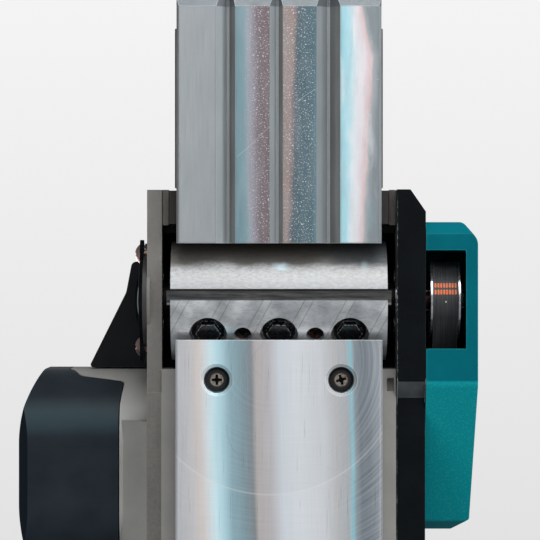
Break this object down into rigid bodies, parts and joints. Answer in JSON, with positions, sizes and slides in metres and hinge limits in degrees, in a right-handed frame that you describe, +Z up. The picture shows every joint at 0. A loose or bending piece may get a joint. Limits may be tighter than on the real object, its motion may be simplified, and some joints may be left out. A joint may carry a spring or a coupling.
{
  "type": "electric hand planer",
  "caption": "Corded electric hand planer with a rotating bladed drum, belt drive, adjustable grooved front base, depth knob, side motor, chip outlet and closed handle.",
  "frame": {"origin": "centre of the rear base's sole, the face that slides on the planed wood", "axes": "+X to the planer's right, +Y towards its front, +Z up, away from the wood"},
  "size_m": [0.1708, 0.3118, 0.1671],
  "materials": {
    "cast_frame": "satin warm grey paint over a die casting",
    "sole_metal": "machined and fine brushed",
    "bright_steel": "plated",
    "dark_steel": "blackened",
    "drum_metal": "turned",
    "carbide": "ground",
    "clamp_metal": "ground with slanting grooves",
    "bearing_steel": "polished",
    "lamination": "stacked sheet",
    "copper_wire": "lacquered copper windings",
    "brass_part": "plain",
    "carbon": "pressed carbon",
    "black_plastic": "fine grain",
    "navy_plastic": "fine grain",
    "teal_plastic": "fine grain",
    "white_plastic": "plain",
    "soft_grip": "soft touch",
    "belt_rubber": "ribbed"
  },
  "bodies": {
    "planer_body": {"bearing_cover": "black_plastic", "bearing_cover_screws": "bright_steel", "belt_case": "black_plastic", "belt_case_screws": "bright_steel", "belt_cover": "teal_plastic", "belt_cover_screws": "bright_steel", "brush_holders": "brass_part", "carbon_brushes": "carbon", "chip_chute": "black_plastic", "chip_chute_screws": "bright_steel", "cord_gland": "black_plastic", "depth_spring": "bright_steel", "drive_belt": "belt_rubber", "drum_bearing_left": "bearing_steel", "drum_bearing_right": "bearing_steel", "fan_baffle": "black_plastic", "field_coils": "copper_wire", "foot_pin": "bright_steel", "handle_grip": "soft_grip", "handle_left": "teal_plastic", "handle_right": "teal_plastic", "handle_screws": "bright_steel", "main_frame": "cast_frame", "motor_bearing_left": "bearing_steel", "motor_bearing_right": "bearing_steel", "motor_end_cap": "navy_plastic", "motor_end_cap_screws": "bright_steel", "rear_base": "sole_metal", "rear_base_screws": "bright_steel", "stator_core": "lamination", "switch_body": "black_plastic", "trigger_pin": "bright_steel"},
    "cutter_drum_body": {"cutter_drum": "drum_metal", "drum_shaft": "bright_steel", "planer_blade_1": "carbide", "planer_blade_2": "carbide", "blade_clamp_1": "clamp_metal", "blade_clamp_2": "clamp_metal", "clamp_bolts": "dark_steel", "setting_screws": "bright_steel", "drum_pulley": "sole_metal", "drum_pulley_flanges": "bright_steel", "pulley_spacer": "bright_steel", "drum_pulley_nut": "dark_steel"},
    "motor_rotor": {"armature_core": "lamination", "armature_windings": "copper_wire", "commutator": "copper_wire", "armature_shaft": "bright_steel", "cooling_fan": "black_plastic", "motor_pulley": "sole_metal", "motor_pulley_nut": "dark_steel"},
    "front_shoe": {"front_base": "sole_metal", "depth_stud": "bright_steel"},
    "depth_knob": {"front_knob": "black_plastic", "depth_scale_ring": "white_plastic", "knob_cap": "black_plastic"},
    "switch_trigger": {"trigger": "black_plastic"},
    "lock_button": {"lock_off_button": "black_plastic"},
    "park_foot": {"standing_foot": "black_plastic"}
  },
  "joints": [
    {"name": "drum_spin", "type": "hinge", "parent": "planer_body", "child": "cutter_drum_body", "pos_m": [0, 0.0892, 0.0236], "axis": [1, 0, 0], "continuous": true},
    {"name": "rotor_spin", "type": "hinge", "parent": "planer_body", "child": "motor_rotor", "pos_m": [0, 0.0238, 0.059], "axis": [1, 0, 0], "continuous": true},
    {"name": "knob_turn", "type": "hinge", "parent": "planer_body", "child": "depth_knob", "pos_m": [0, 0.16, 0.085], "axis": [0, 0, 1], "range_deg": [0, 300]},
    {"name": "front_base_slide", "type": "slide", "parent": "planer_body", "child": "front_shoe", "axis": [0, 0, 1], "range_m": [0, 0.0025], "deforming": ["depth_spring"]},
    {"name": "trigger_pull", "type": "hinge", "parent": "planer_body", "child": "switch_trigger", "pos_m": [0, 0.047, 0.14], "axis": [-1, 0, 0], "range_deg": [0, 7], "stiffness_Nm_per_rad": 0.3, "springref_deg": -2.86},
    {"name": "lock_off_press", "type": "slide", "parent": "planer_body", "child": "lock_button", "axis": [1, 0, 0], "range_m": [0, 0.003], "stiffness_N_per_m": 300, "springref_m": -0.001},
    {"name": "foot_swing", "type": "hinge", "parent": "planer_body", "child": "park_foot", "pos_m": [-0.04065, -0.046, 0.015], "axis": [1, 0, 0], "range_deg": [0, 75]}
  ],
  "couplings": [
    {"joint": "rotor_spin", "follows": "drum_spin", "ratio": 1.5},
    {"joint": "knob_turn", "follows": "front_base_slide", "rad_per_m": 2094.4}
  ]
}
